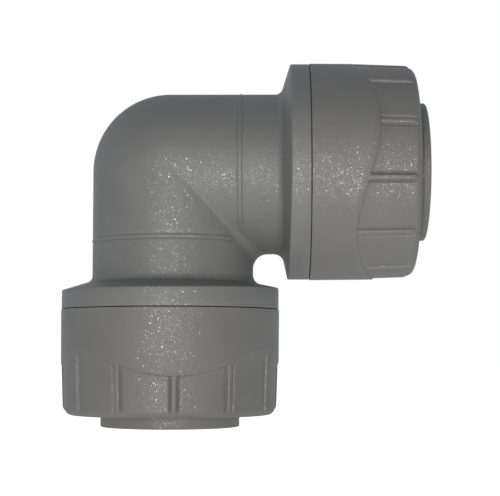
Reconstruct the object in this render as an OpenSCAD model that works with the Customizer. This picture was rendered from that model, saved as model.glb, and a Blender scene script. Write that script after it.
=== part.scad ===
// Demountable push-fit elbow, 90 degrees, equal ends.
// Origin: where the two pipe axes cross. Leg A runs along +X, leg B along -Z.
// Every "_s" value is a distance from the origin along a leg, in millimetres.

/* [Pipe] */
// Outside diameter of the pipe that both sockets take
pipe_d = 22; // [20:0.5:24]
// Diametral play between the pipe and its socket
socket_play = 0.3; // [0.2:0.05:0.4]

/* [Body] */
// Wall around the socket, which sets the neck diameter
neck_wall = 2.75; // [2.5:0.25:3.25]
// Wall of the threaded spigot
spigot_wall = 2.28; // [2:0.01:2.6]
// Wall around the water passage at the corner
corner_wall = 4.6; // [4:0.1:5.5]
// Radius of the fillet in the crotch of the elbow
crotch_fillet = 2.6; // [1.5:0.1:2.8]
// Extra wall on the inner side of the bend
inner_bulge = 0.82; // [0.6:0.02:1]
// Slope of the shoulder, away from square to the axis
shoulder_slope = 17.5; // [15:0.5:20]

/* [Cap] */
// Wall of the cap outside its thread
cap_wall = 1.75; // [1.6:0.05:2.2]
// Step from the cap skin down into the grip zone
grip_step = 0.4; // [0.3:0.05:0.5]
// Number of grip ribs around the cap
rib_count = 12; // [9:3:15]
// Width of one grip rib
rib_w = 1.1; // [0.9:0.1:1.5]
// Number of waves in the border of the grip zone
wave_count = 3; // [2:1:4]
// Half the height of one wave
wave_rise = 1.9; // [0.5:0.1:2.2]

/* [Thread] */
// Distance that the cap moves out in one turn
pitch = 3.6; // [3.4:0.1:3.8]
// Height of the thread ridge
ridge_h = 0.9; // [0.8:0.05:1]

/* [Grip on the pipe] */
// Number of steel teeth around the pipe
tooth_count = 10; // [8:1:11]
// Width of one tooth
tooth_w = 4; // [3:0.25:4.5]
// Slope of a tooth away from square to the pipe
tooth_slope = 30; // [25:1:35]

/* [Seal] */
// Section diameter of the O-ring, as fitted
ring_section = 3.16; // [3:0.02:3.16]
// Thickness of the spacer washer
washer_t = 1.6; // [1.2:0.1:1.6]

/* [Hidden] */

$fn = 96;
body_grey = "#7c7c79";
cap_grey = "#7a7977";
acetal_cream = "#e6dfc8";
tooth_steel = "#b9bcc0";
washer_white = "#d9d8d2";
seal_black = "#1d1d1f";

// How far one solid reaches into the next, so that a union has no bare contact
lap = 0.4;

// Stations along a leg
bead_s = 12.55;
stop_s = 14;
shoulder_s = 21.35;
seam_s = 24.6;
gland_s = 26;
spigot_end_s = 36.6;
cap_step_s = 36.9;
cone_end_s = 41.9;
cap_face_s = 43.2;
mouth_s = 45.3;

// Radii, worked outwards from the pipe
pipe_r = pipe_d / 2;
socket_r = pipe_r + socket_play / 2;
mouth_r = pipe_r + 0.25;
nose_r = pipe_r + 1.3;
neck_r = socket_r + neck_wall;
waterway_r = neck_r - corner_wall;
gland_r = pipe_r + 3.12;
core_r = gland_r + spigot_wall;
crest_r = core_r + ridge_h;
cap_bore_r = crest_r + 0.3;
cap_r = cap_bore_r + cap_wall;
collar_r = cap_r - 0.1;

// Witness beads around the neck
bead_h = 0.12;
bead_w = 0.6;

// Shoulder between neck and collar, plain outside the bend and fuller inside it
shoulder_fillet = 1.3;
inner_shoulder_s = shoulder_s - 0.5;
inner_slope = 12;
inner_fillet = 1.8;
edge_break = 0.2;

// Softening of the mitre line between the two necks, away from the crotch
mitre_soften = 1.2;

// Cap outline
cap_rim_s = seam_s + 0.12;
grip_mid_s = 34.35;
grip_end_s = 41.9;
skin_draft = 0.1;
floor_r = cap_r - skin_draft - grip_step;
floor_taper = 0.035;
corner_r = 1.3;
nose_edge = 0.3;
rib_proud = 0.35;
wave_steps = 72;

// Thread sections and run
ridge_root_w = 1.8;
ridge_crest_w = 0.9;
crest_play = 0.25;
thread_steps = 36;
run_out = 40;
body_thread_s = 27;
body_turns = 2.25;
cap_thread_s = body_thread_s + pitch / 2;
cap_turns = 1.85;

// Cone that closes the wedge on the pipe
cone_wide_r = gland_r + 0.08;
cone_narrow_r = nose_r - 0.05;
cone_slope = (cone_wide_r - cone_narrow_r) / (cone_end_s - cap_step_s);

// Seal, washer and wedge, one behind the other in the gland
ring_r = pipe_r + 1.5;
ring_s = gland_s + 0.02 + ring_section / 2;
washer_s = 29.3;
washer_in_r = pipe_r + 0.3;
washer_out_r = gland_r - 0.12;
wedge_start_s = 31.4;
wedge_end_s = 40.8;
wedge_in_r = pipe_r + 0.3;
wedge_out_r = gland_r - 0.12;
wedge_play = 0.35;
wedge_taper_s = cap_step_s + (cone_wide_r - wedge_play - wedge_out_r) / cone_slope;
wedge_end_r = cone_wide_r - wedge_play - cone_slope * (wedge_end_s - cap_step_s);
split_w = 1.5;
finger_w = 0.9;
finger_s = 37.4;

// Teeth
tooth_tip_r = pipe_r - 0.05;
tooth_root_r = pipe_r + 2.3;
tooth_root_s = 36;
tooth_len = 3.2;
tooth_t = 0.5;
pocket_play = 0.05;
tooth_pitch = 360 / tooth_count;

// Clock angle of each cap around its own leg
clock_a = -110.2;
clock_b = 84.3;

// Leg A: local Z becomes +X
module along_a() {
    rotate([0, 90, 0])
        children();
}

// Leg B: local Z becomes -Z
module along_b() {
    rotate([180, 0, 0])
        children();
}

// Points of an arc from angle a0 to a1 about (cx, cy)
function arc(cx, cy, r, a0, a1, steps) = [
    for (i = [0:steps])
        let (a = a0 + (a1 - a0) * i / steps)
            [cx + r * cos(a), cy + r * sin(a)]
];

// Corner points of the four-sided section of a ridge at turn angle a
function ridge_ring(root, crest, start, turns, a) =
    let (
        s = start + pitch * a / 360,
        fade = min(1, a / run_out, (360 * turns - a) / run_out),
        top = root + (crest - root) * max(0.1, fade),
        w0 = ridge_root_w / 2,
        w1 = ridge_crest_w / 2
    ) [
        for (p = [[root, -w0], [top, -w1], [top, w1], [root, w0]])
            [p[0] * cos(a), p[0] * sin(a), s + p[1]]
    ];

// Triangles that join the rings of a closed strip with four sides
function strip_faces(rings, sides) = concat(
    [for (k = [1:sides - 2]) [0, k + 1, k]],
    [
        for (i = [0:rings - 2], k = [0:sides - 1])
            let (a = i * sides + k, b = i * sides + (k + 1) % sides)
                [a, b, a + sides]
    ],
    [
        for (i = [0:rings - 2], k = [0:sides - 1])
            let (a = i * sides + k, b = i * sides + (k + 1) % sides)
                [b, b + sides, a + sides]
    ],
    [
        for (k = [1:sides - 2])
            let (last = (rings - 1) * sides)
                [last, last + k, last + k + 1]
    ]
);

// The same triangles, wound the other way
function flipped(faces) = [for (f = faces) [f[0], f[2], f[1]]];

// One right-hand helical ridge, standing out from root to crest
module helix_ridge(root, crest, start, turns) {
    steps = ceil(turns * thread_steps);
    points = [
        for (i = [0:steps])
            each ridge_ring(root, crest, start, turns, 360 * turns * i / steps)
    ];
    faces = strip_faces(steps + 1, 4);
    polyhedron(points, crest > root ? faces : flipped(faces), convexity = 8);
}

// Curve from the neck into a shoulder that would reach top_r at top_s
function neck_curve(top_s, top_r, slope, fillet) =
    let (
        foot_s = top_s - (top_r - neck_r) * tan(slope),
        start = foot_s - fillet * tan(45 - slope / 2)
    )
    arc(neck_r + fillet, start, fillet, 180, 90 + slope, 6);

// Outside of one leg, from the corner to the end of its spigot
module leg_outside() {
    rotate_extrude()
        polygon(concat(
            [[0, 0], [neck_r, 0]],
            neck_curve(shoulder_s, collar_r, shoulder_slope, shoulder_fillet),
            [
                [collar_r - edge_break, shoulder_s - edge_break * tan(shoulder_slope)],
                [collar_r, shoulder_s + edge_break],
                [collar_r, seam_s - edge_break / 2],
                [collar_r - edge_break / 2, seam_s],
                [core_r, seam_s],
                [core_r, spigot_end_s - 0.4],
                [core_r - 0.4, spigot_end_s],
                [0, spigot_end_s]
            ]
        ));
}

// Fuller neck and shoulder on the inner side of the bend, which is local +X
module inner_wall() {
    top_r = collar_r - inner_bulge - 0.05;
    translate([inner_bulge, 0, 0])
        rotate_extrude()
            polygon(concat(
                [[0, 0], [neck_r, 0]],
                neck_curve(inner_shoulder_s, top_r, inner_slope, inner_fillet),
                [
                    [top_r, inner_shoulder_s],
                    [top_r, shoulder_s + 1],
                    [0, shoulder_s + 1]
                ]
            ));
}

// Thin raised bead around a leg, which follows both walls
module witness_bead() {
    for (shift = [0, inner_bulge])
        translate([shift, 0, 0])
            rotate_extrude()
                polygon([
                    [neck_r - lap, bead_s - bead_w / 2 - 0.05],
                    [neck_r + bead_h, bead_s - bead_w / 2 + 0.05],
                    [neck_r + bead_h, bead_s + bead_w / 2 - 0.05],
                    [neck_r - lap, bead_s + bead_w / 2 + 0.05]
                ]);
}

// Everything hollow in one leg: water passage, socket and seal gland
module leg_inside() {
    rotate_extrude()
        polygon([
            [0, 0],
            [waterway_r, 0],
            [waterway_r, stop_s],
            [socket_r, stop_s],
            [socket_r, gland_s],
            [gland_r, gland_s],
            [gland_r, spigot_end_s - 0.3],
            [gland_r + 0.3, spigot_end_s],
            [gland_r + 0.3, spigot_end_s + 1],
            [0, spigot_end_s + 1]
        ]);
}

// Fillet radius where the mitre line stands at cosine c around the neck
function mitre_fillet(c) = mitre_soften * c * (1 - c) + crotch_fillet * pow(c, 8);

// One slice of the crotch fillet, in the plane y = neck_r * sin(t)
function crotch_ring(t) =
    let (
        sink = 0.05,
        r = mitre_fillet(cos(t)),
        w = inner_bulge + neck_r * cos(t),
        c = w + r - sink,
        curve = arc(c, -c, r, 90, 180, 5)
    ) [
        for (p = concat([[w - lap, lap - w], [c, lap - w]], curve, [[w - lap, -c]]))
            [p[0], neck_r * sin(t), p[1]]
    ];

// Fillet where the two necks meet on the inside of the elbow
module crotch() {
    steps = 20;
    reach = 60;
    rings = [
        for (i = [0:steps])
            crotch_ring(-reach + 2 * reach * i / steps)
    ];
    points = [for (ring = rings) each ring];
    polyhedron(points, strip_faces(steps + 1, len(rings[0])), convexity = 4);
}

// Moulded elbow with both sockets, collars and threaded spigots
module elbow_body() {
    color(body_grey) {
        difference() {
            union() {
                sphere(r = neck_r);
                along_a() {
                    leg_outside();
                    inner_wall();
                    witness_bead();
                }
                along_b() {
                    leg_outside();
                    inner_wall();
                    witness_bead();
                }
                crotch();
            }
            sphere(r = waterway_r);
            along_a()
                leg_inside();
            along_b()
                leg_inside();
        }
        along_a()
            helix_ridge(core_r - lap, crest_r, body_thread_s, body_turns);
        along_b()
            helix_ridge(core_r - lap, crest_r, body_thread_s, body_turns);
    }
}

// Station where the grip zone starts, at an angle from the clock angle
function grip_start(angle) = grip_mid_s + wave_rise * cos(wave_count * angle);

// Radius of the grip zone's floor at a station
function floor_at(s) = floor_r - floor_taper * (s - grip_mid_s);

// Cap without its skirt: floor of the grip zone, rounded corner, face and nose
module cap_core() {
    end_r = floor_at(cap_face_s - corner_r);
    corner = arc(end_r - corner_r, cap_face_s - corner_r, corner_r, 0, 90, 5);
    nose = arc(nose_r - nose_edge, mouth_s - nose_edge, nose_edge, 0, 90, 3);
    rotate_extrude()
        polygon(concat(
            [[0, cap_rim_s], [floor_at(cap_rim_s), cap_rim_s]],
            corner,
            [[nose_r, cap_face_s]],
            nose,
            [[0, mouth_s]]
        ));
}

// Thicker skirt, which ends in a wave where the grip zone starts
module cap_skirt() {
    top_s = grip_mid_s + wave_rise + 0.4;
    slope = skin_draft / (top_s - cap_rim_s);
    difference() {
        rotate_extrude()
            polygon([
                [floor_r - 1, cap_rim_s],
                [cap_r - edge_break / 2, cap_rim_s],
                [cap_r, cap_rim_s + edge_break / 2],
                [cap_r - slope * (top_s - cap_rim_s), top_s],
                [floor_r - 1, top_s]
            ]);
        wave_cutter(top_s + 1);
    }
}

// Tube with a wavy end that trims the skirt
module wave_cutter(top_s) {
    in_r = floor_r - 1.5;
    out_r = cap_r + 1;
    points = [
        for (i = [0:wave_steps - 1])
            let (a = 360 * i / wave_steps, s = grip_start(a), c = cos(a), d = sin(a))
                each [
                    [in_r * c, in_r * d, s],
                    [out_r * c, out_r * d, s],
                    [out_r * c, out_r * d, top_s],
                    [in_r * c, in_r * d, top_s]
                ]
    ];
    faces = [
        for (i = [0:wave_steps - 1], k = [0:3])
            let (
                a = i * 4 + k,
                b = i * 4 + (k + 1) % 4,
                n = 4 * wave_steps
            )
                each [[a, b, (a + 4) % n], [b, (b + 4) % n, (a + 4) % n]]
    ];
    polyhedron(points, faces, convexity = 8);
}

// Half-round rib that runs from the wavy border to the rounded corner, along the tapered floor
module grip_rib(angle) {
    start = grip_start(angle) - 0.3;
    run = grip_end_s - rib_w / 2 - start;
    rotate([0, 0, angle])
        translate([floor_at(start) + rib_proud - rib_w / 2, 0, start])
            rotate([0, -atan(floor_taper), 0]) {
                cylinder(d = rib_w, h = run, $fn = 32);
                translate([0, 0, run])
                    sphere(d = rib_w, $fn = 32);
            }
}

// Everything hollow in the cap: thread bore, wedge cone and mouth
module cap_inside() {
    rotate_extrude()
        polygon([
            [0, cap_rim_s - 1],
            [cap_bore_r + 0.3, cap_rim_s - 1],
            [cap_bore_r + 0.3, cap_rim_s],
            [cap_bore_r, cap_rim_s + 0.3],
            [cap_bore_r, cap_step_s],
            [cone_wide_r, cap_step_s],
            [cone_narrow_r, cone_end_s],
            [mouth_r, cone_end_s],
            [mouth_r, mouth_s - 0.4],
            [mouth_r + 0.4, mouth_s],
            [mouth_r + 0.4, mouth_s + 1],
            [0, mouth_s + 1]
        ]);
}

// Screw cap, with its thread clocked to the body and its grip to the given angle
module screw_cap(clock) {
    color(cap_grey) {
        difference() {
            rotate([0, 0, clock]) {
                cap_core();
                cap_skirt();
                for (i = [0:rib_count - 1])
                    grip_rib(i * 360 / rib_count);
            }
            cap_inside();
        }
        helix_ridge(cap_bore_r + lap, core_r + crest_play, cap_thread_s, cap_turns);
    }
}

// Solid that is one tooth, or its pocket when play is added all round
module tooth_plate(play) {
    translate([tooth_root_r, 0, tooth_root_s])
        rotate([0, -tooth_slope, 0])
            translate([-tooth_len, -tooth_w / 2 - play, -tooth_t / 2 - play])
                cube([tooth_len + play, tooth_w + 2 * play, tooth_t + 2 * play]);
}

// Split ring that the cap's cone squeezes on to the pipe
module grab_wedge() {
    color(acetal_cream)
        difference() {
            rotate_extrude()
                polygon([
                    [wedge_in_r + 0.3, wedge_start_s],
                    [wedge_out_r - 0.3, wedge_start_s],
                    [wedge_out_r, wedge_start_s + 0.3],
                    [wedge_out_r, wedge_taper_s],
                    [wedge_end_r, wedge_end_s],
                    [wedge_in_r, wedge_end_s],
                    [wedge_in_r, wedge_start_s + 0.3]
                ]);
            for (i = [0:tooth_count - 1])
                rotate([0, 0, i * tooth_pitch])
                    tooth_plate(pocket_play);
            for (i = [1:tooth_count - 1])
                rotate([0, 0, (i + 0.5) * tooth_pitch])
                    translate([pipe_r, -finger_w / 2, finger_s])
                        cube([4, finger_w, wedge_end_s]);
            rotate([0, 0, tooth_pitch / 2])
                translate([pipe_r, -split_w / 2, gland_s])
                    cube([4, split_w, wedge_end_s]);
        }
}

// Ring of separate steel teeth, each ground to the curve of the pipe
module grab_teeth() {
    color(tooth_steel)
        for (i = [0:tooth_count - 1])
            rotate([0, 0, i * tooth_pitch])
                difference() {
                    tooth_plate(0);
                    translate([0, 0, gland_s])
                        cylinder(r = tooth_tip_r, h = mouth_s - gland_s);
                }
}

// Plain washer between the O-ring and the wedge
module spacer_washer() {
    color(washer_white)
        rotate_extrude()
            polygon([
                [washer_in_r, washer_s],
                [washer_out_r - 0.15, washer_s],
                [washer_out_r, washer_s + 0.15],
                [washer_out_r, washer_s + washer_t - 0.15],
                [washer_out_r - 0.15, washer_s + washer_t],
                [washer_in_r, washer_s + washer_t]
            ]);
}

// Rubber seal in its gland
module o_ring() {
    color(seal_black)
        rotate_extrude()
            translate([ring_r, ring_s])
                circle(d = ring_section, $fn = 48);
}

elbow_body();
along_a() screw_cap(clock_a);  // cap_a
along_b() screw_cap(clock_b);  // cap_b
along_a() grab_wedge();  // grab_wedge_a
along_b() grab_wedge();  // grab_wedge_b
along_a() grab_teeth();  // grab_teeth_a
along_b() grab_teeth();  // grab_teeth_b
along_a() spacer_washer();  // spacer_washer_a
along_b() spacer_washer();  // spacer_washer_b
along_a() o_ring();  // o_ring_a
along_b() o_ring();  // o_ring_b
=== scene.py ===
"""Demountable push-fit elbow: finished meshes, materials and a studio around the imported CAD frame.

Lengths are millimetres here, and MM turns them into the frame's metres. s is the distance along
a leg from the crossing of the two pipe axes, and r the distance from the leg's axis.
"""
import math

import bmesh
import bpy
import numpy as np
from mathutils import Matrix, Vector


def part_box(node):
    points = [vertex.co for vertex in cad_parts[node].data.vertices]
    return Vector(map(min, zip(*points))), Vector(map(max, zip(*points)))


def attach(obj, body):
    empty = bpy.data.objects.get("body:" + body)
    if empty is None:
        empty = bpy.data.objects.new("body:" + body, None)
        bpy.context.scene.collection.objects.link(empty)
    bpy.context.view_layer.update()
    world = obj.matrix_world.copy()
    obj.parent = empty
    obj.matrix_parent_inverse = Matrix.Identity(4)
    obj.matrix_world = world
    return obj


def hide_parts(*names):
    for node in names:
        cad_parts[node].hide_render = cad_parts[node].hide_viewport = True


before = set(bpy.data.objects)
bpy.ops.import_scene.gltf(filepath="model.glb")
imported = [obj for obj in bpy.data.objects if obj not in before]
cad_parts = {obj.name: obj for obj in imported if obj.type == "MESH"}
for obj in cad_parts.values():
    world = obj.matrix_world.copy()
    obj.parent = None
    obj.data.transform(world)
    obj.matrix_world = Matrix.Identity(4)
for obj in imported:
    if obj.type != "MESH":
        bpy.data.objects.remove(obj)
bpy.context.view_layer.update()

MM = 0.001
LEGS = ("a", "b")
COLUMNS = 192              # columns around a leg
FULL_TURN = 2 * math.pi
HALF_TURN = math.pi
QUARTER_TURN = math.pi / 2


def span(node):
    """Start, end and outer radius of a CAD node of leg A, in millimetres."""
    low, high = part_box(node)
    return low.x / MM, high.x / MM, high.y / MM


# Stations and radii that the frame gives
RIM_S, MOUTH_S, CAP_R = span("cap_a")
_, SPIGOT_S, COLLAR_R = span("elbow_body")
WASHER_S0, WASHER_S1, WASHER_R = span("spacer_washer_a")
WEDGE_S0, WEDGE_S1, WEDGE_R = span("grab_wedge_a")
RING_S0, RING_S1, RING_R = span("o_ring_a")

# The rest of the design, as the CAD source states it
PIPE_R = 11.0
SOCKET_R = PIPE_R + 0.15
NECK_R = SOCKET_R + 2.75
WATERWAY_R = NECK_R - 4.6
GLAND_R = PIPE_R + 3.12
CORE_R = GLAND_R + 2.28
RIDGE_H = 0.9
CREST_R = CORE_R + RIDGE_H
CAP_BORE_R = CREST_R + 0.3
MOUTH_R = PIPE_R + 0.25
NOSE_R = PIPE_R + 1.3
STOP_S = 14.0
GLAND_S = 26.0
SEAM_S = RIM_S - 0.12      # the collar's end, a hair short of the cap's rim
BEAD_S = 12.55
CROTCH_R = 2.6
INNER_BULGE = 0.82         # extra wall on the inner side of the bend
SHOULDER_S = 21.35         # where the shoulder meets the collar
INNER_BACK = 0.5           # how much nearer the bend it does so on the inner side
OUTER_LEAN = math.radians(17.5)
INNER_LEAN = math.radians(12)
OUTER_FILLET = 1.3
INNER_FILLET = 1.8
BROW_R = 0.3
PITCH = 3.6
CAP_TURNS = 2.5             # how far a cap unscrews
CAP_STEP_S = SPIGOT_S + 0.3
CONE_END_S = 41.9
CONE_WIDE_R = GLAND_R + 0.08
CONE_END_R = NOSE_R - 0.05
FACE_S = MOUTH_S - 2.1
CLOCK = {"a": math.radians(-110.2), "b": math.radians(84.3)}
RIBS = 12
TEETH = 10


# ---------------------------------------------------------------- mesh tools

def from_height(leg, s, y, h):
    """Points of a leg given by station, y and height above the axis on the bend's outer side."""
    return np.stack([s, y, h] if leg == "a" else [-h, y, -s], axis=-1)


def place(leg, s, r, a):
    """Points at station s and radius r of a leg; angle a runs from the outer side of the bend to +Y."""
    s, r, a = np.broadcast_arrays(s, r, a)
    return from_height(leg, s, r * np.sin(a), r * np.cos(a))


def clock_angle(leg, a):
    """Right-handed angle about the leg's outward axis, from the CAD's own zero."""
    return HALF_TURN - a if leg == "a" else a + HALF_TURN


def from_clock(leg, c):
    """The angle a that stands at a right-handed clock angle."""
    return HALF_TURN - c if leg == "a" else c - HALF_TURN


def smooth(x):
    """Soft step from 0 to 1 as x goes from 0 to 1."""
    x = np.clip(x, 0.0, 1.0)
    return x * x * (3 - 2 * x)


class Skin:
    """Collects grids of points and welds them into one closed, smooth mesh."""

    def __init__(self):
        self.points = []
        self.faces = []
        self.count = 0

    def grid(self, p):
        """Adds a grid of points shaped (rows, columns, 3)."""
        rows, columns = p.shape[:2]
        index = np.arange(rows * columns).reshape(rows, columns) + self.count
        quads = np.stack([index[:-1, :-1], index[1:, :-1], index[1:, 1:], index[:-1, 1:]], axis=-1)
        self.points.append(p.reshape(-1, 3))
        self.faces.append(quads.reshape(-1, 4))
        self.count += rows * columns

    def build(self, name, weld=0.002):
        """Makes the object, with doubled points welded and all faces turned outwards."""
        mesh = bpy.data.meshes.new(name)
        points = np.concatenate(self.points) * MM
        mesh.from_pydata(points.tolist(), [], np.concatenate(self.faces).tolist())
        bm = bmesh.new()
        bm.from_mesh(mesh)
        bmesh.ops.remove_doubles(bm, verts=bm.verts, dist=weld * MM)
        bmesh.ops.dissolve_degenerate(bm, edges=bm.edges, dist=1e-8)
        bmesh.ops.recalc_face_normals(bm, faces=bm.faces)
        for face in bm.faces:
            face.smooth = True
        bm.to_mesh(mesh)
        bm.free()
        piece = bpy.data.objects.new(name, mesh)
        bpy.context.scene.collection.objects.link(piece)
        return piece


def rounded(outline, steps=4):
    """Points of an open outline of (s, r, radius), with each corner turned by an arc of its radius."""
    out = [np.array(outline[0][:2], float)]
    for before, here, after in zip(outline, outline[1:], outline[2:]):
        p, radius = np.array(here[:2], float), here[2]
        u = np.array(before[:2]) - p
        v = np.array(after[:2]) - p
        u, v = u / np.linalg.norm(u), v / np.linalg.norm(v)
        half = math.acos(max(-1.0, min(1.0, float(u @ v)))) / 2
        if radius <= 0 or half > 1.55:
            out.append(p)
            continue
        centre = p + (u + v) / np.linalg.norm(u + v) * radius / math.sin(half)
        first = p + u * radius / math.tan(half) - centre
        last = p + v * radius / math.tan(half) - centre
        turn = HALF_TURN - 2 * half
        for k in range(steps + 1):
            t = k / steps
            mix = math.sin((1 - t) * turn) * first + math.sin(t * turn) * last
            out.append(centre + mix / math.sin(turn))
    out.append(np.array(outline[-1][:2], float))
    return np.array(out)


def angles(columns=COLUMNS):
    """Even column angles for a full turn, first column repeated at the end."""
    return np.linspace(0, FULL_TURN, columns + 1)


def revolve(skin, leg, profile, a):
    """Adds a profile of (s, r) turned around a leg."""
    skin.grid(place(leg, profile[:, :1], profile[:, 1:2], a[None, :]))


# ---------------------------------------------------------------- thread

RIDGE_ROOT_W = 1.8
RIDGE_CREST_W = 0.9
RUN_OUT = math.radians(40)  # angle over which a ridge fades out at each end
THREAD_GAP = 0.25          # play between the cap's ridges and the spigot's core
THREAD_TRIM = 0.05         # length over which the ridges sink at the ends of the cylinder
SPIGOT_THREAD_S, SPIGOT_THREAD_TURNS = 27.0, 2.25   # where the ridge starts, and its turns
CAP_THREAD_S, CAP_THREAD_TURNS = 28.8, 1.85
THREAD_LEAD_IN = 0.35      # plain length between the collar and the threaded cylinder
RIDGE_MARKS = (0, 0.25, 0.36, 0.45, 0.56, 0.75, 0.84, 0.93, 1.1, 1.45)


def ridge_section(u):
    """Height of the thread ridge, 0 to 1, at u millimetres from its middle line."""
    flank = (RIDGE_ROOT_W / 2 - np.abs(u)) / ((RIDGE_ROOT_W - RIDGE_CREST_W) / 2)
    return smooth(flank * 0.86 + 0.07)


def thread_rows(start, low, high):
    """Helix stations, one per ridge mark, that cover low to high at every angle."""
    marks = sorted(set([-m for m in RIDGE_MARKS] + list(RIDGE_MARKS)))
    first = math.floor((low - start) / PITCH) - 2
    last = math.ceil((high - start) / PITCH) + 1
    turns = np.arange(first, last + 1)
    rows = start + (turns[:, None] * PITCH + np.array(marks)[None, :])
    return rows.reshape(-1)


def thread(skin, leg, clock, low, high, root, height, start, turns):
    """Adds a threaded cylinder whose grid follows the helix, so that every ridge is crisp."""
    rows = thread_rows(start, low, high)
    lead = PITCH * clock[None, :] / FULL_TURN
    helix = rows[:, None] + lead
    s = np.clip(helix, low, high)
    turn = np.round((s - start - lead) / PITCH)
    u = s - start - lead - turn * PITCH
    run = FULL_TURN * turn + clock[None, :]
    left = FULL_TURN * turns - run
    fade = smooth(np.minimum(run, left) / RUN_OUT)
    r = root + height * ridge_section(u) * fade
    edge = np.minimum(s - low, high - s) / THREAD_TRIM
    r = root + (r - root) * np.clip(edge, 0, 1)
    skin.grid(place(leg, s, r, from_clock(leg, clock)[None, :]))


# ---------------------------------------------------------------- elbow body

FILLET_STEPS = 5
CORNER_STEPS = 48
BEAD_HALF_W = 0.36
BEAD_CROWN = 0.07
CREASE_DEPTH = 0.09
CREASE_OFF = 0.4           # from the bead's middle line
CREASE_W = 0.07
BEAD_FADE = 0.3            # length over which the bead fades out at the mitre
MITRE_ROUNDS = 200
MITRE_PULL = 0.8
MITRE_REACH = 11.4         # how far along each leg the softening goes
MITRE_HALF_W = 7.0         # and how far to each side of the crease
MITRE_MARGIN = 0.3


def crotch_fillet(c):
    """Fillet radius where the mitre stands at cosine c: widest in the crotch, gone at front and back."""
    return CROTCH_R * (0.5 * c ** 1.5 + 0.5 * c ** 8)


def bead_height(s):
    """Height of the witness bead around the neck, with a fine crease along each side."""
    d = np.abs(s - BEAD_S)
    crown = BEAD_CROWN * np.cos(np.clip(d / BEAD_HALF_W, 0, 1) * QUARTER_TURN) ** 0.7
    crease = CREASE_DEPTH * np.exp(-((d - CREASE_OFF) / CREASE_W) ** 2)
    return np.where(d < BEAD_HALF_W, crown, 0) - crease


def neck(skin, leg, rows, fillet, bead=None):
    """Adds one leg from the bend's middle, along rows of (s, r).

    Its inner half starts halfway round the crotch fillet.
    """
    a = angles()
    outer = np.cos(a) >= -1e-9
    across = np.abs(np.cos(a))
    first_s, first_r = rows[0]
    w = first_r * across
    f = fillet(across)
    start = np.where(outer, 0.0, w + f)
    grid = []
    for k in range(FILLET_STEPS + 1):
        beta = math.radians(45) * (1 - k / FILLET_STEPS)
        s = np.where(outer, first_s * k / FILLET_STEPS, start - f * math.sin(beta))
        h = np.where(outer, w, f * math.cos(beta) - start)
        grid.append(from_height(leg, s, first_r * np.sin(a), h))
    for station, r in rows:
        s = np.maximum(station, start)
        lift = bead(s) * smooth((s - start) / BEAD_FADE) if bead else 0
        grid.append(place(leg, s, r + lift, a))
    skin.grid(np.stack(grid))


def inner_share():
    """How far each column belongs to the leg's inner side, 0 to 1."""
    return np.clip(-np.cos(angles()), 0, 1) ** 2


def corner(skin, radius):
    """Adds the spherical outer corner that joins the two legs."""
    t = angles()
    t = t[: COLUMNS // 4 + 1]
    t = np.concatenate([-t[::-1], t[1:]])
    w = radius * np.cos(t)
    rows = []
    for k in range(CORNER_STEPS + 1):
        phi = QUARTER_TURN * k / CORNER_STEPS
        rows.append(np.stack([-w * math.sin(phi), radius * np.sin(t), w * math.cos(phi)], axis=-1))
    skin.grid(np.stack(rows))


def arc(s, r, radius, lean, steps):
    """Points (s, r) of an arc about a centre, from the shoulder's normal to straight outwards."""
    turns = [lean + (QUARTER_TURN - lean) * k / steps for k in range(steps + 1)]
    return [(s - radius * np.cos(t), r + radius * np.sin(t)) for t in turns]


def leg_rows(share):
    """Neck, shoulder and collar, from the bend to the foot of the thread; rows crowd over the bead.

    The share leads each column from the plain outer side to the fuller inner side.
    """
    neck_r = NECK_R + INNER_BULGE * share
    lean = OUTER_LEAN + (INNER_LEAN - OUTER_LEAN) * share
    fillet = OUTER_FILLET + (INNER_FILLET - OUTER_FILLET) * share
    top_s = SHOULDER_S - INNER_BACK * share
    slant = (COLLAR_R - neck_r) * np.tan(lean)
    neck_end = top_s - slant - fillet * np.tan(HALF_TURN / 4 - lean / 2)
    offsets = (0.56, 0.48, 0.44, 0.4, 0.36, 0.32, 0.26, 0.18, 0.08)
    fine = [BEAD_S - d for d in offsets] + [BEAD_S] + [BEAD_S + d for d in reversed(offsets)]
    stations = [0.8 * k for k in range(1, 15)] + fine + [13.5, 14.2, 15, 15.8, 16.6, 17.4, 18]
    rows = [(s, neck_r) for s in stations]
    rows += arc(neck_end, neck_r + fillet, -fillet, lean, 8)[::-1]
    q = BROW_R / (1 + np.sin(lean))
    brow = arc(top_s + q * np.cos(lean), COLLAR_R - q * (1 + np.sin(lean)), BROW_R, lean, 4)
    (foot_s, foot_r), (brow_s, brow_r) = rows[-1], brow[0]
    for t in (0.2, 0.4, 0.6, 0.8):
        rows.append((foot_s * (1 - t) + brow_s * t, foot_r * (1 - t) + brow_r * t))
    edge = rounded([
        (SEAM_S - 1, COLLAR_R, 0),
        (SEAM_S, COLLAR_R, 0.12),
        (SEAM_S, CORE_R, 0.1),
        (SEAM_S + THREAD_LEAD_IN, CORE_R, 0),
    ])
    return rows + brow + edge.tolist()


def mouth_profile():
    """Spigot end, seal gland, socket and pipe stop, running inwards to the water passage."""
    return rounded([
        (SPIGOT_S - 0.5, CORE_R, 0),
        (SPIGOT_S - 0.4, CORE_R, 0.05),
        (SPIGOT_S, CORE_R - 0.4, 0.1),
        (SPIGOT_S, GLAND_R + 0.3, 0.08),
        (SPIGOT_S - 0.3, GLAND_R, 0.05),
        (GLAND_S, GLAND_R, 0.15),
        (GLAND_S, SOCKET_R, 0.15),
        (STOP_S, SOCKET_R, 0.2),
        (STOP_S, WATERWAY_R, 0.25),
        (STOP_S - 1, WATERWAY_R, 0),
    ])


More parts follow.
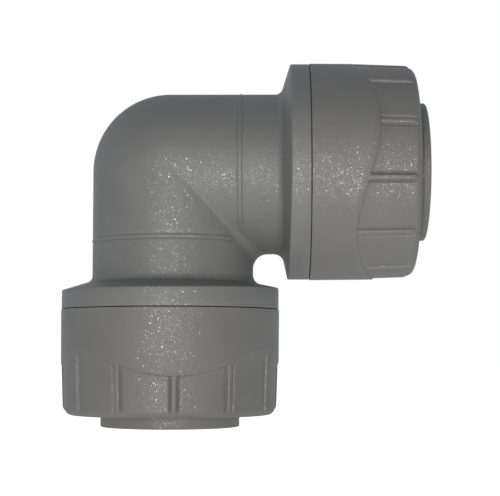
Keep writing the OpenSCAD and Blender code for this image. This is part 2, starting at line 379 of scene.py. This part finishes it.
def build_elbow():
    """The moulded elbow: outside, threads, sockets and water passage in one closed mesh."""
    skin = Skin()
    corner(skin, NECK_R)
    corner(skin, WATERWAY_R)
    for leg in LEGS:
        a = angles()
        clock = clock_angle(leg, a)
        neck(skin, leg, leg_rows(inner_share()), crotch_fillet, bead_height)
        thread(skin, leg, clock, SEAM_S + THREAD_LEAD_IN, SPIGOT_S - 0.5, CORE_R, RIDGE_H,
               SPIGOT_THREAD_S, SPIGOT_THREAD_TURNS)
        revolve(skin, leg, mouth_profile(), a)
        neck(skin, leg, [(s, WATERWAY_R) for s in (3, 7, 10, STOP_S - 1)], np.zeros_like)
    piece = skin.build("elbow_moulding")
    soften_mitre(piece)
    return piece


def soften_mitre(piece):
    """Fills the crease between the two necks a little, so that it fades towards the front and back."""
    bm = bmesh.new()
    bm.from_mesh(piece.data)
    near = [v for v in bm.verts if in_mitre(v.co / MM)]
    for _ in range(MITRE_ROUNDS):
        moved = [(v, middle_of_neighbours(v)) for v in near]
        for v, target in moved:
            if neck_distance(target) > neck_distance(v.co):
                v.co = v.co.lerp(target, MITRE_PULL)
    bm.to_mesh(piece.data)
    bm.free()


def middle_of_neighbours(v):
    """Mean place of the vertices that share an edge with v."""
    return sum((e.other_vert(v).co for e in v.link_edges), Vector()) / len(v.link_edges)


def in_mitre(p):
    """Whether a point in millimetres lies on the outside near the crease between the legs."""
    inner = min(p.x, -p.z) > MITRE_MARGIN and max(p.x, -p.z) < MITRE_REACH
    return inner and abs(p.x + p.z) < MITRE_HALF_W and neck_distance(p) > NECK_R - 1


def neck_distance(p):
    """Distance from the nearer leg's axis."""
    return math.hypot(p.y, min(p.x, -p.z))


# ---------------------------------------------------------------- screw cap

GRIP_MID_S = 34.35         # middle of the wavy border
WAVES = 3
WAVE_RISE = 1.9
LIP_UP = 0.15              # how far short of the border the skirt ends
LIP_W = 0.24               # the steep lip just below the skirt
LIP_SHARE = 0.38           # its share of the whole step
RAMP_W = 2.2               # lip and ramp together
RIB_HALF_W = 0.55
RIB_PROUD = 0.35
GROOVE_DEPTH = 0.3
GROOVE_OFF = 0.7           # from the rib's middle line
GROOVE_W = 0.15
GROOVE_FADE = 0.3
SKIN_DRAFT = 0.1
GRIP_STEP = 0.4
FLOOR_SLOPE = 0.035
FLOOR_R = CAP_R - SKIN_DRAFT - GRIP_STEP
CORNER_R = 1.3
CORNER_S = FACE_S - CORNER_R
RIM_ROUND = 0.12           # where the rim's rounding meets the skirt
SKIRT_FOOT_R = CAP_R - 0.004
SKIRT_STEPS, GRIP_STEPS, ROUND_STEPS = 8, 12, 10
RIB_MARKS = (0, 0.4, 0.75, 1.05, 1.3, 1.5, 1.64, 1.78, 1.98, 2.2, 2.45, 2.8, 3.3, 4.3, 6, 8, 10.2, 12.6)


def cap_columns(clock0):
    """Clock angles of the columns, gathered around each rib."""
    sector = 360 / RIBS
    marks = [-m for m in reversed(RIB_MARKS[1:])] + list(RIB_MARKS) + [sector / 2]
    degrees = [i * sector + m for i in range(RIBS) for m in marks]
    return clock0 + np.radians(np.array([-sector / 2] + degrees))


def grip_start(c):
    """Station of the wavy border at an angle from the cap's own clock zero."""
    return GRIP_MID_S + WAVE_RISE * np.cos(WAVES * c)


def floor_radius(s):
    """Radius of the grip zone's floor."""
    return FLOOR_R - FLOOR_SLOPE * (s - GRIP_MID_S)


def skin_radius(s):
    """Radius of the skirt."""
    return CAP_R - SKIN_DRAFT * (s - RIM_S) / (GRIP_MID_S + WAVE_RISE - RIM_S)


def rib_shape(c):
    """Height of the half-round ribs over the floor, and depth of the fine groove at each foot."""
    sector = FULL_TURN / RIBS
    off = np.abs((c + sector / 2) % sector - sector / 2) * FLOOR_R
    dome = RIB_PROUD * np.clip(1 - (off / RIB_HALF_W) ** 2, 0, None) ** 0.5
    groove = GROOVE_DEPTH * np.exp(-((off - GROOVE_OFF) / GROOVE_W) ** 2)
    return dome, groove


def grip_radius(s, border, ribs):
    """Radius around the cap from the wavy border on: the ramp off the skirt, with ribs and grooves."""
    dome, groove = ribs
    run = s - border + LIP_UP
    slide = 1 - (1 - np.clip(run / RAMP_W, 0, 1)) ** 2
    fall = LIP_SHARE * smooth(run / LIP_W) + (1 - LIP_SHARE) * slide
    ramp = skin_radius(s) * (1 - fall) + floor_radius(s) * fall
    shown = smooth(run / GROOVE_FADE)
    return np.maximum(ramp, floor_radius(s) + dome * rib_end(s)) - groove * shown * rib_end(s)


def cap_outside(skin, leg, columns, clock0):
    """Adds the skirt, the wavy border, the grip zone with its ribs, and the rounded corner."""
    c = columns - clock0
    border = grip_start(c)
    a = from_clock(leg, columns)
    ribs = rib_shape(c)
    dome, groove = ribs
    rim = RIM_S + RIM_ROUND
    rows = [(rim, SKIRT_FOOT_R)]
    top = border - LIP_UP
    for k in range(1, SKIRT_STEPS + 1):
        s = rim + (top - rim) * k / SKIRT_STEPS
        rows.append((s, skin_radius(s)))
    for run in (0.05, 0.1, 0.15, 0.2, LIP_W, 0.34, 0.6, 1.1, 1.6, RAMP_W):
        s = top + run
        rows.append((s, grip_radius(s, border, ribs)))
    foot = top + RAMP_W
    for k in range(1, GRIP_STEPS + 1):
        s = foot + (CORNER_S - foot) * k / GRIP_STEPS
        rows.append((s, grip_radius(s, border, ribs)))
    centre_r = floor_radius(CORNER_S) - CORNER_R
    for k in range(1, ROUND_STEPS + 1):
        turn = QUARTER_TURN * k / ROUND_STEPS
        s = CORNER_S + CORNER_R * math.sin(turn)
        r = centre_r + (CORNER_R + (dome - groove) * rib_end(s)) * math.cos(turn)
        rows.append((s, r))
    skin.grid(np.stack([place(leg, s, r, a) for s, r in rows]))


def rib_end(s):
    """Fades the ribs out in the rounded corner."""
    return 1 - smooth((s - CORNER_S + 0.2) / (CORNER_R * 0.75))


def nose_profile():
    """Face, nose and mouth, running into the bore as far as the cap's thread."""
    return rounded([
        (FACE_S, floor_radius(CORNER_S) - CORNER_R, 0),
        (FACE_S, NOSE_R, 0.12),
        (MOUTH_S, NOSE_R, 0.3),
        (MOUTH_S, MOUTH_R + 0.4, 0.08),
        (MOUTH_S - 0.4, MOUTH_R, 0.08),
        (CONE_END_S, MOUTH_R, 0.1),
        (CONE_END_S, CONE_END_R, 0.1),
        (CAP_STEP_S, CONE_WIDE_R, 0.12),
        (CAP_STEP_S, CAP_BORE_R, 0.2),
        (CAP_STEP_S - 0.3, CAP_BORE_R, 0),
    ])


def rim_profile():
    """Rim of the cap, from the foot of its thread round to the skirt."""
    return rounded([
        (RIM_S + 0.6, CAP_BORE_R, 0),
        (RIM_S + 0.3, CAP_BORE_R, 0.05),
        (RIM_S, CAP_BORE_R + 0.3, 0.05),
        (RIM_S, SKIRT_FOOT_R, 0.11),
        (RIM_S + RIM_ROUND, SKIRT_FOOT_R, 0),
    ])


def build_cap(leg):
    """One screw cap as a closed mesh."""
    clock0 = CLOCK[leg]
    columns = cap_columns(clock0)
    a = from_clock(leg, columns)
    skin = Skin()
    cap_outside(skin, leg, columns, clock0)
    revolve(skin, leg, nose_profile(), a)
    depth = CAP_BORE_R - CORE_R - THREAD_GAP
    thread(skin, leg, columns, RIM_S + 0.6, CAP_STEP_S - 0.3, CAP_BORE_R, -depth,
           CAP_THREAD_S, CAP_THREAD_TURNS)
    revolve(skin, leg, rim_profile(), a)
    return skin.build(f"cap_{leg}_shell")


# ---------------------------------------------------------------- inner pieces

BORE_PLAY = 0.3            # how far washer and wedge stand off the pipe
CONE_PLAY = 0.35           # how far the wedge stands off the cap's cone
WEDGE_COLUMNS = 150
SPLIT_W = 1.5
SLOT_W, SLOT_S = 0.9, 37.4  # slots between the fingers, and where they start
SLOT_DEPTH = 4.0           # deep enough to pass through the wedge's wall
POCKET_PLAY = 0.05


def closed_lathe(name, leg, outline, steps=4, columns=COLUMNS):
    """A ring with a closed outline of (s, r, radius), each corner rounded."""
    loop = [outline[-1]] + outline + [outline[0]]
    profile = rounded(loop, steps)[1:-1]
    profile = np.concatenate([profile, profile[:1]])
    skin = Skin()
    revolve(skin, leg, profile, angles(columns))
    return skin.build(name, weld=0.0005)


def build_washer(leg):
    """Plain spacer washer."""
    return closed_lathe(f"washer_{leg}_ring", leg, [
        (WASHER_S0, PIPE_R + BORE_PLAY, 0.12),
        (WASHER_S0, WASHER_R, 0.15),
        (WASHER_S1, WASHER_R, 0.15),
        (WASHER_S1, PIPE_R + BORE_PLAY, 0.12),
    ])


def build_seal(leg):
    """O-ring."""
    section = (RING_S1 - RING_S0) / 2
    middle_s, middle_r = (RING_S0 + RING_S1) / 2, RING_R - section
    turn = angles(32)
    profile = np.stack([middle_s + section * np.cos(turn), middle_r + section * np.sin(turn)], axis=-1)
    skin = Skin()
    revolve(skin, leg, profile, angles())
    return skin.build(f"seal_{leg}_ring")


def leg_matrix(leg):
    """Turns leg-local millimetres (CAD axes, local Z outwards) into metres of the row frame."""
    axis = "Y" if leg == "a" else "X"
    turn = Matrix.Rotation(QUARTER_TURN if leg == "a" else HALF_TURN, 4, axis)
    return turn @ Matrix.Scale(MM, 4)


def block(bm, size, low, matrix):
    """Adds a box with its lowest corner at low, then moved by matrix."""
    for v in bmesh.ops.create_cube(bm, size=1.0)["verts"]:
        v.co = Vector((low[i] + (v.co[i] + 0.5) * size[i] for i in range(3)))
        v.co = matrix @ v.co


def around(angle):
    """Turn about the leg's axis."""
    return Matrix.Rotation(angle, 4, "Z")


TOOTH_W, TOOTH_T, TOOTH_LEN = 4.0, 0.5, 3.2
TOOTH_SLOPE = math.radians(30)
TOOTH_STEPS = 8
TOOTH_TIP_R = PIPE_R - 0.05
TOOTH_ROOT_R, TOOTH_ROOT_S = PIPE_R + 2.3, 36.0


def tooth_frame(i):
    """Where tooth i stands: local X outwards along the tooth, Z across its thickness."""
    turn = around(FULL_TURN * i / TEETH)
    lean = Matrix.Rotation(-TOOTH_SLOPE, 4, "Y")
    return turn @ Matrix.Translation((TOOTH_ROOT_R, 0, TOOTH_ROOT_S)) @ lean


def finish_mesh(name, bm, leg):
    """Turns a leg-local bmesh into an object in the row frame."""
    bm.transform(leg_matrix(leg))
    bmesh.ops.recalc_face_normals(bm, faces=bm.faces)
    mesh = bpy.data.meshes.new(name)
    bm.to_mesh(mesh)
    bm.free()
    piece = bpy.data.objects.new(name, mesh)
    bpy.context.scene.collection.objects.link(piece)
    return piece


def apply_modifiers(piece):
    """Bakes the modifiers into the mesh."""
    graph = bpy.context.evaluated_depsgraph_get()
    mesh = bpy.data.meshes.new_from_object(piece.evaluated_get(graph))
    piece.modifiers.clear()
    piece.data = mesh


def soften(piece, width):
    """Small bevel on every sharp edge, with smooth shading."""
    bevel = piece.modifiers.new("edges", "BEVEL")
    bevel.width = width * MM
    bevel.segments = 2
    bevel.limit_method = "ANGLE"
    bevel.angle_limit = math.radians(35)
    bevel.harden_normals = True
    apply_modifiers(piece)


def wedge_cutter():
    """Slots, split and tooth pockets of leg A's grab wedge, as one solid each."""
    bm = bmesh.new()
    pitch = FULL_TURN / TEETH
    size = (TOOTH_LEN + POCKET_PLAY, TOOTH_W + 2 * POCKET_PLAY, TOOTH_T + 2 * POCKET_PLAY)
    for i in range(TEETH):
        block(bm, size, (-TOOTH_LEN, -size[1] / 2, -size[2] / 2), tooth_frame(i))
        width, start = (SPLIT_W, GLAND_S) if i == 0 else (SLOT_W, SLOT_S)
        gap = (SLOT_DEPTH, width, MOUTH_S - start)
        block(bm, gap, (PIPE_R - 0.4, -width / 2, start), around((i + 0.5) * pitch))
    return finish_mesh("wedge_cutter", bm, "a")


def build_wedge(leg):
    """Split, fingered ring that holds the teeth; it is always cut on leg A, then turned to its leg."""
    slope = (CONE_WIDE_R - CONE_END_R) / (CONE_END_S - CAP_STEP_S)
    taper_s = CAP_STEP_S + (CONE_WIDE_R - CONE_PLAY - WEDGE_R) / slope
    end_r = CONE_WIDE_R - CONE_PLAY - slope * (WEDGE_S1 - CAP_STEP_S)
    piece = closed_lathe(f"wedge_{leg}_ring", "a", [
        (WEDGE_S0, PIPE_R + 0.6, 0.05),
        (WEDGE_S0, WEDGE_R - 0.3, 0.05),
        (WEDGE_S0 + 0.3, WEDGE_R, 0.05),
        (taper_s, WEDGE_R, 0.3),
        (WEDGE_S1, end_r, 0.12),
        (WEDGE_S1, PIPE_R + BORE_PLAY, 0.12),
        (WEDGE_S0 + 0.3, PIPE_R + BORE_PLAY, 0.05),
    ], steps=2, columns=WEDGE_COLUMNS)
    tool = wedge_cutter()
    cut = piece.modifiers.new("slots", "BOOLEAN")
    cut.object = tool
    cut.solver = "EXACT"
    apply_modifiers(piece)
    bpy.data.objects.remove(tool)
    piece.data.transform(leg_matrix(leg) @ leg_matrix("a").inverted())
    return piece


def build_teeth(leg):
    """Ring of separate steel teeth, each with its biting edge ground to the pipe's curve."""
    bm = bmesh.new()
    for i in range(TEETH):
        matrix = tooth_frame(i)
        rings = []
        for k in range(TOOTH_STEPS + 1):
            v = TOOTH_W * (k / TOOTH_STEPS - 0.5)
            reach = math.sqrt(TOOTH_TIP_R ** 2 - v ** 2)
            ring = []
            for z in (-TOOTH_T / 2, TOOTH_T / 2):
                tip = (reach - TOOTH_ROOT_R + math.sin(TOOTH_SLOPE) * z) / math.cos(TOOTH_SLOPE)
                ring += [(max(tip, -TOOTH_LEN), v, z), (0, v, z)]
            corners = (ring[0], ring[1], ring[3], ring[2])
            rings.append([bm.verts.new(matrix @ Vector(p)) for p in corners])
        for one, two in zip(rings, rings[1:]):
            for k in range(4):
                bm.faces.new((one[k], one[(k + 1) % 4], two[(k + 1) % 4], two[k]))
        bm.faces.new(rings[0])
        bm.faces.new(rings[-1])
    piece = finish_mesh(f"teeth_{leg}_ring", bm, leg)
    soften(piece, 0.04)
    return piece


# ---------------------------------------------------------------- materials

BODY_TONE = (0.133, 0.134, 0.131)
CAP_TONE = (0.129, 0.127, 0.122)
TONE_SPREAD = 0.09         # how far the mottling takes the tone up and down
NOISE_SPAN = (0.3, 0.7)    # what most of Blender's noise lies between
# Painted glints: bright specks painted into the base colour where a low front lamp would mirror into the
# eye
PAINTED_GLINT_LAMP = (0.02, -0.978, -0.21)  # towards the lamp whose mirrored highlight the painted glints stand for; the flash stands higher
PAINTED_GLINT_SIZE = 0.15
PAINTED_GLINT_FOCUS = 45.0         # how closely the painted glints gather where the lamp would mirror
GLINT_SIZE = 0.13
GLINT_TILT = 0.5


class Nodes:
    """Short-hand for building a node tree."""

    def __init__(self, name):
        self.material = bpy.data.materials.new(name)
        self.material.use_nodes = True
        self.tree = self.material.node_tree
        self.shader = self.tree.nodes["Principled BSDF"]
        self.output = self.tree.nodes["Material Output"]

    def add(self, kind, **settings):
        """New node with its settings."""
        node = self.tree.nodes.new(kind)
        for key, value in settings.items():
            setattr(node, key, value)
        return node

    def link(self, a, b):
        """Joins an output to an input."""
        self.tree.links.new(a, b)

    def place(self):
        """Object coordinates in millimetres."""
        where = self.add("ShaderNodeTexCoord")
        scale = self.add("ShaderNodeVectorMath", operation="SCALE")
        scale.inputs["Scale"].default_value = 1 / MM
        self.link(where.outputs["Object"], scale.inputs[0])
        return scale.outputs[0]

    def noise(self, where, size, detail=2.0, roughness=0.5):
        """Noise whose features are about size millimetres."""
        node = self.add("ShaderNodeTexNoise")
        node.inputs["Scale"].default_value = 1 / size
        node.inputs["Detail"].default_value = detail
        node.inputs["Roughness"].default_value = roughness
        self.link(where, node.inputs["Vector"])
        return node.outputs["Fac"]

    def mathematics(self, operation, one, two):
        """One arithmetic step on sockets or plain numbers."""
        node = self.add("ShaderNodeMath", operation=operation)
        for socket, value in zip(node.inputs, (one, two)):
            if isinstance(value, float):
                socket.default_value = value
            else:
                self.link(value, socket)
        return node.outputs[0]

    def range(self, value, low, high, out_low, out_high):
        """Maps low to high onto out_low to out_high, and holds the ends."""
        node = self.add("ShaderNodeMapRange")
        ends = {"From Min": low, "From Max": high, "To Min": out_low, "To Max": out_high}
        for key, number in ends.items():
            node.inputs[key].default_value = number
        self.link(value, node.inputs["Value"])
        return node.outputs["Result"]

    def spread(self, noise, out_low, out_high):
        """Stretches the usual span of a noise over out_low to out_high."""
        return self.range(noise, *NOISE_SPAN, out_low, out_high)

    def blend(self, factor, one, two):
        """Mix of two colours, each a socket or a plain tuple."""
        node = self.add("ShaderNodeMix", data_type="RGBA")
        self.link(factor, node.inputs["Factor"])
        a, b = [s for s in node.inputs if s.name in "AB" and s.type == "RGBA"]
        for socket, value in ((a, one), (b, two)):
            if isinstance(value, tuple):
                socket.default_value = value
            else:
                self.link(value, socket)
        return [s for s in node.outputs if s.type == "RGBA"][0]

    def bump(self, height, distance, strength, normal=None):
        """Surface normal of a relief distance millimetres deep, over an earlier normal if there is one."""
        node = self.add("ShaderNodeBump")
        node.inputs["Strength"].default_value = strength
        node.inputs["Distance"].default_value = distance * MM
        self.link(height, node.inputs["Height"])
        if normal is not None:
            self.link(normal, node.inputs["Normal"])
        return node.outputs["Normal"]


def spark_eroded(name, tone):
    """Grey moulded plastic with a spark-eroded texture, whose flat facets glint under a small light, and
    with painted glints in its base colour.
    """
    n = Nodes(name)
    where = n.place()
    mottle = n.noise(where, 6.0, 3.0)
    grain = n.noise(where, 0.35, 3.0, 0.6)
    tint = n.mathematics("ADD", n.spread(mottle, 0, 0.5), n.spread(grain, 0, 0.5))
    dark = tuple(c * (1 - TONE_SPREAD) for c in tone) + (1,)
    light = tuple(c * (1 + TONE_SPREAD) for c in tone) + (1,)
    ground = n.blend(tint, dark, light)
    # painted highlight: light specks painted into the base colour where the low front lamp would mirror
    # into the eye
    colour = n.blend(painted_glints(n, where), ground, (0.58, 0.57, 0.55, 1))
    n.link(colour, n.shader.inputs["Base Color"])
    n.link(n.spread(grain, 0.58, 0.7), n.shader.inputs["Roughness"])
    n.shader.inputs["Specular IOR Level"].default_value = 0.8
    fine = n.bump(grain, 0.02, 0.6)
    coarse = n.bump(n.noise(where, 0.9, 1.0), 0.02, 0.5, fine)
    n.link(coarse, n.shader.inputs["Normal"])
    glints(n, where, coarse)
    return n.material


def painted_glints(n, where):
    """Strength of painted glints: tiny bright specks painted into the colour where a low front lamp would
    mirror into the eye.
    """
    cells = n.add("ShaderNodeTexVoronoi", feature="F1")
    cells.inputs["Scale"].default_value = 1 / PAINTED_GLINT_SIZE
    n.link(where, cells.inputs["Vector"])
    chance = n.add("ShaderNodeTexWhiteNoise", noise_dimensions="3D")
    n.link(cells.outputs["Position"], chance.inputs["Vector"])
    shape = n.add("ShaderNodeNewGeometry")
    both = n.add("ShaderNodeVectorMath", operation="ADD")
    n.link(shape.outputs["Incoming"], both.inputs[0])
    both.inputs[1].default_value = PAINTED_GLINT_LAMP
    half = n.add("ShaderNodeVectorMath", operation="NORMALIZE")
    n.link(both.outputs[0], half.inputs[0])
    facing = n.add("ShaderNodeVectorMath", operation="DOT_PRODUCT")
    n.link(shape.outputs["Normal"], facing.inputs[0])
    n.link(half.outputs[0], facing.inputs[1])
    # painted highlight: strongest where the surface faces halfway between the eye and the lamp
    front = n.mathematics("MAXIMUM", facing.outputs["Value"], 0.0)
    focus = n.mathematics("POWER", front, PAINTED_GLINT_FOCUS)
    crowd = n.range(n.noise(where, 3.0, 2.0), 0.35, 0.65, 0.04, 0.13)
    odds = n.mathematics("MULTIPLY", focus, crowd)
    return n.range(n.mathematics("ADD", chance.outputs["Value"], odds), 1.0, 1.08, 0, 0.62)


def glints(n, where, normal):
    """Lays sparse mirror-like facets, each tilted its own way, over the shader."""
    cells = n.add("ShaderNodeTexVoronoi", feature="F1")
    cells.inputs["Scale"].default_value = 1 / GLINT_SIZE
    n.link(where, cells.inputs["Vector"])
    tilt = n.add("ShaderNodeVectorMath", operation="SUBTRACT")
    n.link(cells.outputs["Color"], tilt.inputs[0])
    tilt.inputs[1].default_value = (0.5, 0.5, 0.5)
    amount = n.add("ShaderNodeVectorMath", operation="SCALE")
    amount.inputs["Scale"].default_value = GLINT_TILT
    n.link(tilt.outputs[0], amount.inputs[0])
    total = n.add("ShaderNodeVectorMath", operation="ADD")
    n.link(normal, total.inputs[0])
    n.link(amount.outputs[0], total.inputs[1])
    unit = n.add("ShaderNodeVectorMath", operation="NORMALIZE")
    n.link(total.outputs[0], unit.inputs[0])
    facet = n.add("ShaderNodeBsdfGlossy")
    facet.inputs["Roughness"].default_value = 0.22
    facet.inputs["Color"].default_value = (0.9, 0.9, 0.88, 1)
    n.link(unit.outputs[0], facet.inputs["Normal"])
    chance = n.add("ShaderNodeTexWhiteNoise", noise_dimensions="3D")
    n.link(cells.outputs["Position"], chance.inputs["Vector"])
    rare = n.range(chance.outputs["Value"], 0.7, 1.0, 0, 0.05)
    mix = n.add("ShaderNodeMixShader")
    n.link(rare, mix.inputs["Fac"])
    n.link(n.shader.outputs["BSDF"], mix.inputs[1])
    n.link(facet.outputs["BSDF"], mix.inputs[2])
    n.link(mix.outputs["Shader"], n.output.inputs["Surface"])


def acetal():
    """Natural acetal: creamy, slightly translucent, with faint flow marks."""
    n = Nodes("acetal")
    where = n.place()
    flow = n.noise(where, 3.0, 4.0, 0.6)
    colour = n.blend(n.spread(flow, 0, 1), (0.72, 0.66, 0.52, 1), (0.82, 0.77, 0.64, 1))
    n.link(colour, n.shader.inputs["Base Color"])
    n.link(n.spread(flow, 0.28, 0.42), n.shader.inputs["Roughness"])
    n.shader.inputs["Subsurface Weight"].default_value = 0.15
    n.shader.inputs["Subsurface Scale"].default_value = 1.0 * MM
    n.link(n.bump(n.noise(where, 0.4, 3.0), 0.01, 0.5), n.shader.inputs["Normal"])
    return n.material


def ground_steel():
    """Stainless spring steel with fine grinding lines and small colour shifts."""
    n = Nodes("ground_steel")
    where = n.place()
    stretch = n.add("ShaderNodeMapping")
    stretch.inputs["Scale"].default_value = (12.0, 1.0, 12.0)
    n.link(where, stretch.inputs["Vector"])
    lines = n.noise(stretch.outputs["Vector"], 2.0, 3.0, 0.7)
    colour = n.blend(n.spread(lines, 0, 1), (0.5, 0.5, 0.51, 1), (0.66, 0.66, 0.65, 1))
    n.link(colour, n.shader.inputs["Base Color"])
    n.shader.inputs["Metallic"].default_value = 1.0
    n.link(n.spread(lines, 0.22, 0.4), n.shader.inputs["Roughness"])
    n.link(n.bump(lines, 0.008, 0.6), n.shader.inputs["Normal"])
    return n.material


def washer_plastic():
    """Off-white moulded washer."""
    n = Nodes("washer_plastic")
    where = n.place()
    cloud = n.noise(where, 2.5, 3.0)
    colour = n.blend(n.spread(cloud, 0, 1), (0.62, 0.61, 0.57, 1), (0.72, 0.71, 0.67, 1))
    n.link(colour, n.shader.inputs["Base Color"])
    n.link(n.spread(cloud, 0.35, 0.5), n.shader.inputs["Roughness"])
    n.link(n.bump(n.noise(where, 0.25, 2.0), 0.01, 0.5), n.shader.inputs["Normal"])
    return n.material


def seal_rubber():
    """Black rubber with a thin uneven film of lubricant."""
    n = Nodes("seal_rubber")
    where = n.place()
    film = n.noise(where, 1.8, 3.0)
    colour = n.blend(n.spread(film, 0, 1), (0.012, 0.012, 0.013, 1), (0.03, 0.03, 0.031, 1))
    n.link(colour, n.shader.inputs["Base Color"])
    n.link(n.range(film, 0.35, 0.65, 0.25, 0.5), n.shader.inputs["Roughness"])
    n.link(n.bump(n.noise(where, 0.12, 2.0), 0.006, 0.5), n.shader.inputs["Normal"])
    return n.material


# ---------------------------------------------------------------- assembly

def fit(piece, body, nodes, material):
    """Gives a piece its body, the CAD nodes it stands for and its material."""
    piece.data.materials.clear()
    piece.data.materials.append(material)
    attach(piece, body)
    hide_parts(*nodes)


def build_object():
    """Every visible piece of the fitting."""
    body_plastic = spark_eroded("body_plastic", BODY_TONE)
    cap_plastic = spark_eroded("cap_plastic", CAP_TONE)
    cream, steel, white, black = acetal(), ground_steel(), washer_plastic(), seal_rubber()
    fit(build_elbow(), "elbow", ["elbow_body"], body_plastic)
    for leg in LEGS:
        ring = f"grab_ring_{leg}"
        fit(build_cap(leg), f"cap_{leg}", [f"cap_{leg}"], cap_plastic)
        fit(build_wedge(leg), ring, [f"grab_wedge_{leg}"], cream)
        fit(build_teeth(leg), ring, [f"grab_teeth_{leg}"], steel)
        fit(build_washer(leg), f"washer_{leg}", [f"spacer_washer_{leg}"], white)
        fit(build_seal(leg), "elbow", [f"o_ring_{leg}"], black)


# ---------------------------------------------------------------- studio

FLOOR_REACH = 3.0          # metres to each side
FLOOR_GAP = 0.2            # millimetres between the floor and the unscrewed lower cap
FLOOR_GLOW_FELT = 0.41     # what the object gets from the floor
FLOOR_GLOW_SEEN = 0.9      # what the eye gets
WHITE = (1, 1, 1, 1)
SKY_FRONT, SKY_BACK = 0.16, 1.15
SKY_ABOVE, SKY_BELOW = (0.86, 0.95, 1.04), (1.04, 0.99, 0.96)
OBJECT_MIDDLE = (0.013, 0, -0.013)


def add_floor():
    """Wide pale floor, bright enough to melt into the background and clear of the unscrewed lower cap."""
    floor_z = -(MOUTH_S + CAP_TURNS * PITCH + FLOOR_GAP) * MM
    mesh = bpy.data.meshes.new("floor")
    corners = [(x * FLOOR_REACH, y * FLOOR_REACH, floor_z) for x, y in ((-1, -1), (1, -1), (1, 1), (-1, 1))]
    mesh.from_pydata(corners, [], [(0, 1, 2, 3)])
    floor = bpy.data.objects.new("floor", mesh)
    bpy.context.scene.collection.objects.link(floor)
    n = Nodes("floor_pale")
    n.shader.inputs["Base Color"].default_value = (0.86, 0.86, 0.86, 1)
    n.shader.inputs["Roughness"].default_value = 0.9
    n.shader.inputs["Specular IOR Level"].default_value = 0.1
    sight = n.add("ShaderNodeLightPath")
    level = n.range(sight.outputs["Is Camera Ray"], 0, 1, FLOOR_GLOW_FELT, FLOOR_GLOW_SEEN)
    n.link(level, n.shader.inputs["Emission Strength"])
    n.shader.inputs["Emission Color"].default_value = (1, 0.97, 0.94, 1)
    floor.data.materials.append(n.material)


def add_sky():
    """White background to the eye; to the object, light that is stronger behind and cooler above."""
    world = bpy.data.worlds.new("studio")
    bpy.context.scene.world = world
    world.use_nodes = True
    tree = world.node_tree
    tree.nodes.clear()
    out = tree.nodes.new("ShaderNodeOutputWorld")
    sight = tree.nodes.new("ShaderNodeLightPath")
    seen = tree.nodes.new("ShaderNodeBackground")
    seen.inputs["Color"].default_value = WHITE
    felt = tree.nodes.new("ShaderNodeBackground")
    way = tree.nodes.new("ShaderNodeTexCoord")
    split = tree.nodes.new("ShaderNodeSeparateXYZ")
    tree.links.new(way.outputs["Generated"], split.inputs[0])
    ramp = tree.nodes.new("ShaderNodeValToRGB")
    for stop, position, colour in zip(ramp.color_ramp.elements, (0.3, 0.7), (SKY_BELOW, SKY_ABOVE)):
        stop.position = position
        stop.color = colour + (1,)
    height = tree.nodes.new("ShaderNodeMapRange")
    height.inputs["From Min"].default_value = -1
    tree.links.new(split.outputs["Z"], height.inputs["Value"])
    tree.links.new(height.outputs["Result"], ramp.inputs["Fac"])
    tree.links.new(ramp.outputs["Color"], felt.inputs["Color"])
    depth = tree.nodes.new("ShaderNodeMapRange")
    for key, number in (("From Min", -0.2), ("From Max", 1), ("To Min", SKY_FRONT), ("To Max", SKY_BACK)):
        depth.inputs[key].default_value = number
    tree.links.new(split.outputs["Y"], depth.inputs["Value"])
    tree.links.new(depth.outputs["Result"], felt.inputs["Strength"])
    mix = tree.nodes.new("ShaderNodeMixShader")
    tree.links.new(sight.outputs["Is Camera Ray"], mix.inputs["Fac"])
    tree.links.new(felt.outputs[0], mix.inputs[1])
    tree.links.new(seen.outputs[0], mix.inputs[2])
    tree.links.new(mix.outputs[0], out.inputs["Surface"])


def add_light(name, where, size, power, colour):
    """Round lamp of size metres that is aimed at the object and that the camera doesn't see."""
    data = bpy.data.lights.new(name, "AREA")
    data.shape = "DISK"
    data.size = size
    data.energy = power
    data.color = colour
    light = bpy.data.objects.new(name, data)
    light.visible_camera = False
    light.location = where
    aim = Vector(OBJECT_MIDDLE) - Vector(where)
    light.rotation_euler = aim.to_track_quat("-Z", "Y").to_euler()
    bpy.context.scene.collection.objects.link(light)


def add_camera():
    """Camera at the photograph's angle: square to the elbow, a little low and to the right."""
    distance, right, up = 250.0, 16.8, -32.8
    focal = 2.804       # in picture widths
    yaw, pitch, roll = (math.radians(v) for v in (-0.605, -4.389, 0.031))
    data = bpy.data.cameras.new("camera")
    data.sensor_fit = "HORIZONTAL"
    data.sensor_width = 36.0
    data.lens = focal * data.sensor_width
    data.clip_start = 0.01
    camera = bpy.data.objects.new("camera", data)
    stand = Matrix.Translation(Vector((right, -distance, up)) * MM)
    aim = Matrix.Rotation(-yaw, 4, "Z") @ Matrix.Rotation(-pitch, 4, "X")
    level = Matrix.Rotation(-roll, 4, "Y") @ Matrix.Rotation(QUARTER_TURN, 4, "X")
    camera.matrix_world = stand @ aim @ level
    bpy.context.scene.collection.objects.link(camera)
    bpy.context.scene.camera = camera


def build_studio():
    """Floor, sky, lights and camera."""
    add_floor()
    add_sky()
    add_light("flash", (0.0, -0.26, -0.03), 0.03, 0.32, (1.0, 0.97, 0.93))
    add_light("softbox", (0.0, -0.8, 0.05), 0.4, 0.8, (0.98, 0.99, 1.0))
    scene = bpy.context.scene
    scene.view_settings.view_transform = "Standard"
    scene.view_settings.look = "None"
    add_camera()


build_object()
build_studio()
